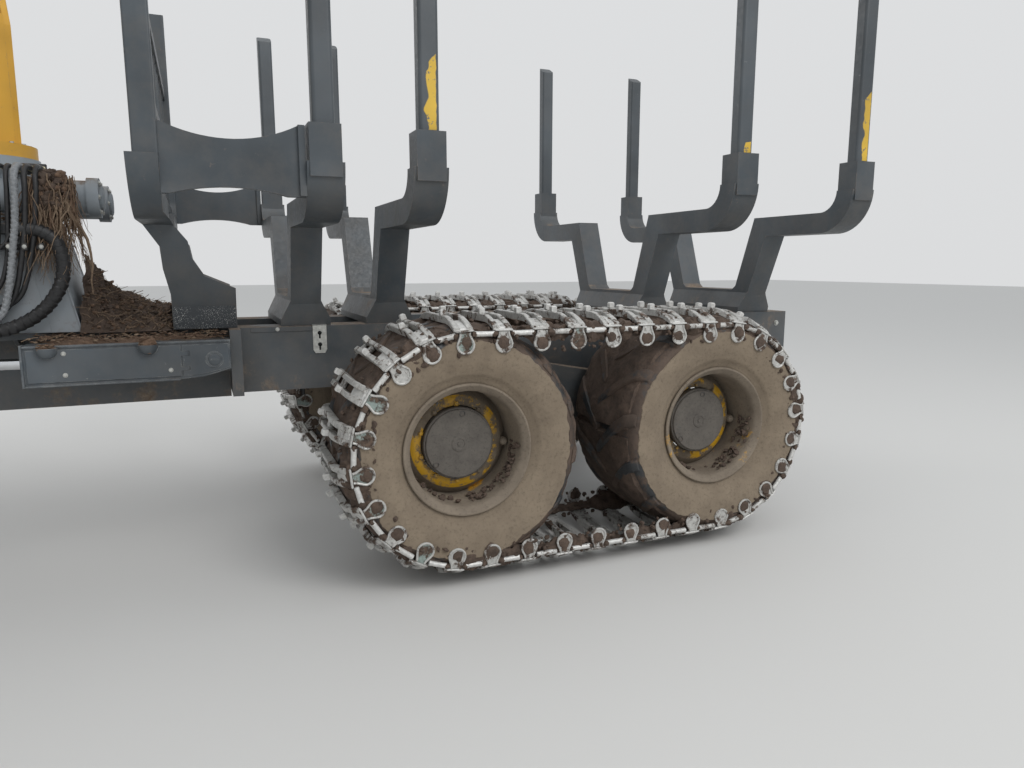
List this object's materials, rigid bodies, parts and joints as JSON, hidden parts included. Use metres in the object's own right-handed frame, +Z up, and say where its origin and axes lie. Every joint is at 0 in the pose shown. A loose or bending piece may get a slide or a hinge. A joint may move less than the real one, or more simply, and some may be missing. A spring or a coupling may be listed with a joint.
{
  "type": "forestry forwarder",
  "caption": "Articulated bogie-wheeled timber carrier with tracked rear bogies, staked load bunk, load gate, cab and a folding loading crane with grapple.",
  "frame": {"origin": "on the ground under the middle of the whole machine's bounding box, the swung-out crane included; the vehicle's mid plane is at Y = 1.150 and the articulation pin at X = 1.150", "axes": "+X towards the front of the machine, +Y to its left, +Z up"},
  "size_m": [10.4998, 5.2724, 6.8733],
  "materials": {
    "charcoal_paint": "satin, chipped",
    "ochre_paint": "satin",
    "grey_paint": "satin, worn",
    "rim_paint": "muddy",
    "bare_steel": "worn",
    "rod_chrome": "polished",
    "barrel_paint": "satin",
    "engine_iron": "raw",
    "tyre_rubber": "muddy",
    "hose_rubber": "matt",
    "glazing": "clear",
    "seat_fabric": "woven",
    "lamp_black": "matt"
  },
  "bodies": {
    "rear_frame": {"rear_frame": "charcoal_paint", "bolsters": "charcoal_paint", "stakes": "charcoal_paint", "gate_foot": "charcoal_paint", "load_gate": "charcoal_paint", "side_boxes": "charcoal_paint", "crane_base": "grey_paint", "crane_hoses": "hose_rubber"},
    "center_joint": {"center_joint": "charcoal_paint"},
    "front_frame": {"front_frame": "charcoal_paint", "front_axle": "charcoal_paint", "engine_block": "engine_iron", "cab_shell": "ochre_paint", "cab_glass": "glazing", "cab_seat": "seat_fabric", "fenders": "charcoal_paint", "work_lights": "lamp_black"},
    "cab_door": {"cab_door": "ochre_paint", "door_glass": "glazing"},
    "bonnet": {"bonnet": "ochre_paint"},
    "steer_barrel_l": {"steer_barrel_l": "barrel_paint"},
    "steer_rod_l": {"steer_rod_l": "rod_chrome"},
    "front_bogie_l": {"front_bogie_l": "charcoal_paint"},
    "front_wheel_l1": {"front_tyre_l1": "tyre_rubber", "front_rim_l1": "rim_paint"},
    "front_wheel_l2": {"front_tyre_l2": "tyre_rubber", "front_rim_l2": "rim_paint"},
    "rear_bogie_l": {"rear_bogie_l": "charcoal_paint", "rear_tyres_l": "tyre_rubber", "rear_rims_l": "rim_paint", "track_l": "bare_steel"},
    "steer_barrel_r": {"steer_barrel_r": "barrel_paint"},
    "steer_rod_r": {"steer_rod_r": "rod_chrome"},
    "front_bogie_r": {"front_bogie_r": "charcoal_paint"},
    "front_wheel_r1": {"front_tyre_r1": "tyre_rubber", "front_rim_r1": "rim_paint"},
    "front_wheel_r2": {"front_tyre_r2": "tyre_rubber", "front_rim_r2": "rim_paint"},
    "rear_bogie_r": {"rear_bogie_r": "charcoal_paint", "rear_tyres_r": "tyre_rubber", "rear_rims_r": "rim_paint", "track_r": "bare_steel"},
    "crane_pillar": {"crane_pillar": "ochre_paint"},
    "lift_barrel": {"lift_barrel": "barrel_paint"},
    "lift_rod": {"lift_rod": "rod_chrome"},
    "main_boom": {"main_boom": "ochre_paint"},
    "jib_barrel": {"jib_barrel": "barrel_paint"},
    "jib_rod": {"jib_rod": "rod_chrome"},
    "outer_boom": {"outer_boom": "ochre_paint"},
    "extension": {"extension": "barrel_paint"},
    "hanging_link": {"hanging_link": "charcoal_paint"},
    "rotator": {"rotator": "barrel_paint"},
    "grapple_head": {"grapple_head": "charcoal_paint"},
    "jaw_outer": {"jaw_outer": "charcoal_paint"},
    "jaw_inner": {"jaw_inner": "charcoal_paint"}
  },
  "joints": [
    {"name": "steer", "type": "hinge", "parent": "rear_frame", "child": "center_joint", "pos_m": [1.15, 1.15, 1.1], "axis": [0, 0, -1], "range_deg": [-44, 44]},
    {"name": "roll", "type": "hinge", "parent": "center_joint", "child": "front_frame", "pos_m": [1.6, 1.15, 1.1], "axis": [1, 0, 0], "range_deg": [-15, 15]},
    {"name": "steer_barrel_l_pin", "type": "hinge", "parent": "rear_frame", "child": "steer_barrel_l", "pos_m": [-0.95, 1.67, 1.205], "axis": [0, 0, 1], "range_deg": [-1.2, 1.2]},
    {"name": "steer_rod_l_slide", "type": "slide", "parent": "steer_barrel_l", "child": "steer_rod_l", "axis": [0.9989, -0.0465, 0], "range_m": [-0.32, 0.32]},
    {"name": "steer_barrel_r_pin", "type": "hinge", "parent": "rear_frame", "child": "steer_barrel_r", "pos_m": [-0.95, 0.63, 1.205], "axis": [0, 0, 1], "range_deg": [-1.2, 1.2]},
    {"name": "steer_rod_r_slide", "type": "slide", "parent": "steer_barrel_r", "child": "steer_rod_r", "axis": [0.9989, 0.0465, 0], "range_m": [-0.32, 0.32]},
    {"name": "front_bogie_l_pivot", "type": "hinge", "parent": "front_frame", "child": "front_bogie_l", "pos_m": [3.1, 1.77, 0.7725], "axis": [0, 1, 0], "range_deg": [-15, 15]},
    {"name": "front_wheel_l1_axle", "type": "hinge", "parent": "front_bogie_l", "child": "front_wheel_l1", "pos_m": [2.35, 2.27, 0.6725], "axis": [0, 1, 0], "continuous": true},
    {"name": "front_wheel_l2_axle", "type": "hinge", "parent": "front_bogie_l", "child": "front_wheel_l2", "pos_m": [3.85, 2.27, 0.6725], "axis": [0, 1, 0], "continuous": true},
    {"name": "rear_bogie_l_pivot", "type": "hinge", "parent": "rear_frame", "child": "rear_bogie_l", "pos_m": [-2.95, 1.77, 0.8475], "axis": [0, 1, 0], "range_deg": [-15, 15]},
    {"name": "front_bogie_r_pivot", "type": "hinge", "parent": "front_frame", "child": "front_bogie_r", "pos_m": [3.1, 0.53, 0.7725], "axis": [0, 1, 0], "range_deg": [-15, 15]},
    {"name": "front_wheel_r1_axle", "type": "hinge", "parent": "front_bogie_r", "child": "front_wheel_r1", "pos_m": [2.35, 0.03, 0.6725], "axis": [0, 1, 0], "continuous": true},
    {"name": "front_wheel_r2_axle", "type": "hinge", "parent": "front_bogie_r", "child": "front_wheel_r2", "pos_m": [3.85, 0.03, 0.6725], "axis": [0, 1, 0], "continuous": true},
    {"name": "rear_bogie_r_pivot", "type": "hinge", "parent": "rear_frame", "child": "rear_bogie_r", "pos_m": [-2.95, 0.53, 0.8475], "axis": [0, 1, 0], "range_deg": [-15, 15]},
    {"name": "slew", "type": "hinge", "parent": "rear_frame", "child": "crane_pillar", "pos_m": [0.2, 1.15, 2.3], "axis": [0, 0, 1], "range_deg": [-320, 60]},
    {"name": "lift", "type": "hinge", "parent": "crane_pillar", "child": "main_boom", "pos_m": [0.16786, 1.1883, 3.3], "axis": [-0.766, -0.6428, 0], "range_deg": [-72, 10]},
    {"name": "lift_barrel_pin", "type": "hinge", "parent": "crane_pillar", "child": "lift_barrel", "pos_m": [0.27199, 1.0642, 2.466], "axis": [-0.766, -0.6428, 0], "range_deg": [-53.8, 7.6]},
    {"name": "lift_rod_slide", "type": "slide", "parent": "lift_barrel", "child": "lift_rod", "axis": [0.2381, -0.2838, 0.9288], "range_m": [-0.84, 0.125]},
    {"name": "jib", "type": "hinge", "parent": "main_boom", "child": "outer_boom", "pos_m": [1.28441, -0.14235, 6.56691], "axis": [0.766, 0.6428, 0], "range_deg": [-92, 33]},
    {"name": "jib_barrel_pin", "type": "hinge", "parent": "main_boom", "child": "jib_barrel", "pos_m": [0.51061, 0.77983, 4.94185], "axis": [-0.766, -0.6428, 0], "range_deg": [-1, 1]},
    {"name": "jib_rod_slide", "type": "slide", "parent": "jib_barrel", "child": "jib_rod", "axis": [0.312, -0.3718, 0.8743], "range_m": [-0.36, 0.14]},
    {"name": "telescope", "type": "slide", "parent": "outer_boom", "child": "extension", "axis": [-0.5727, 0.6826, 0.454], "range_m": [-1.7, 0]},
    {"name": "link_swing", "type": "hinge", "parent": "extension", "child": "hanging_link", "pos_m": [3.0026, -2.19, 5.20493], "axis": [-0.766, -0.6428, 0], "range_deg": [-55, 85]},
    {"name": "rotator_swing", "type": "hinge", "parent": "hanging_link", "child": "rotator", "pos_m": [3.0026, -2.19, 4.99493], "axis": [0.6428, -0.766, 0], "range_deg": [-25, 25]},
    {"name": "grapple_turn", "type": "hinge", "parent": "rotator", "child": "grapple_head", "pos_m": [3.0026, -2.19, 4.70493], "axis": [0, 0, 1], "continuous": true},
    {"name": "jaw_outer_pin", "type": "hinge", "parent": "grapple_head", "child": "jaw_outer", "pos_m": [3.09901, -2.30491, 4.44493], "axis": [0.766, 0.6428, 0], "range_deg": [-60, 0]},
    {"name": "jaw_inner_pin", "type": "hinge", "parent": "grapple_head", "child": "jaw_inner", "pos_m": [2.90618, -2.0751, 4.44493], "axis": [-0.766, -0.6428, 0], "range_deg": [-60, 0]},
    {"name": "door", "type": "hinge", "parent": "front_frame", "child": "cab_door", "pos_m": [3.29, 1.962, 2.6], "axis": [0, 0, -1], "range_deg": [0, 80]},
    {"name": "bonnet_tilt", "type": "hinge", "parent": "front_frame", "child": "bonnet", "pos_m": [5.08, 1.15, 1.35], "axis": [0, 1, 0], "range_deg": [0, 60]}
  ],
  "couplings": [
    {"joint": "steer_rod_l_slide", "follows": "steer", "m_per_rad": 0.3856},
    {"joint": "steer_rod_r_slide", "follows": "steer", "m_per_rad": -0.3856},
    {"joint": "steer_barrel_l_pin", "follows": "steer", "ratio": -0.0129},
    {"joint": "steer_barrel_r_pin", "follows": "steer", "ratio": -0.0129},
    {"joint": "lift_barrel_pin", "follows": "lift", "ratio": 0.7431},
    {"joint": "lift_rod_slide", "follows": "lift", "m_per_rad": 0.6615},
    {"joint": "jib_rod_slide", "follows": "jib", "m_per_rad": 0.2146},
    {"joint": "jib_barrel_pin", "follows": "jib", "ratio": 0.0067},
    {"joint": "jaw_inner_pin", "follows": "jaw_outer_pin", "ratio": 1}
  ]
}
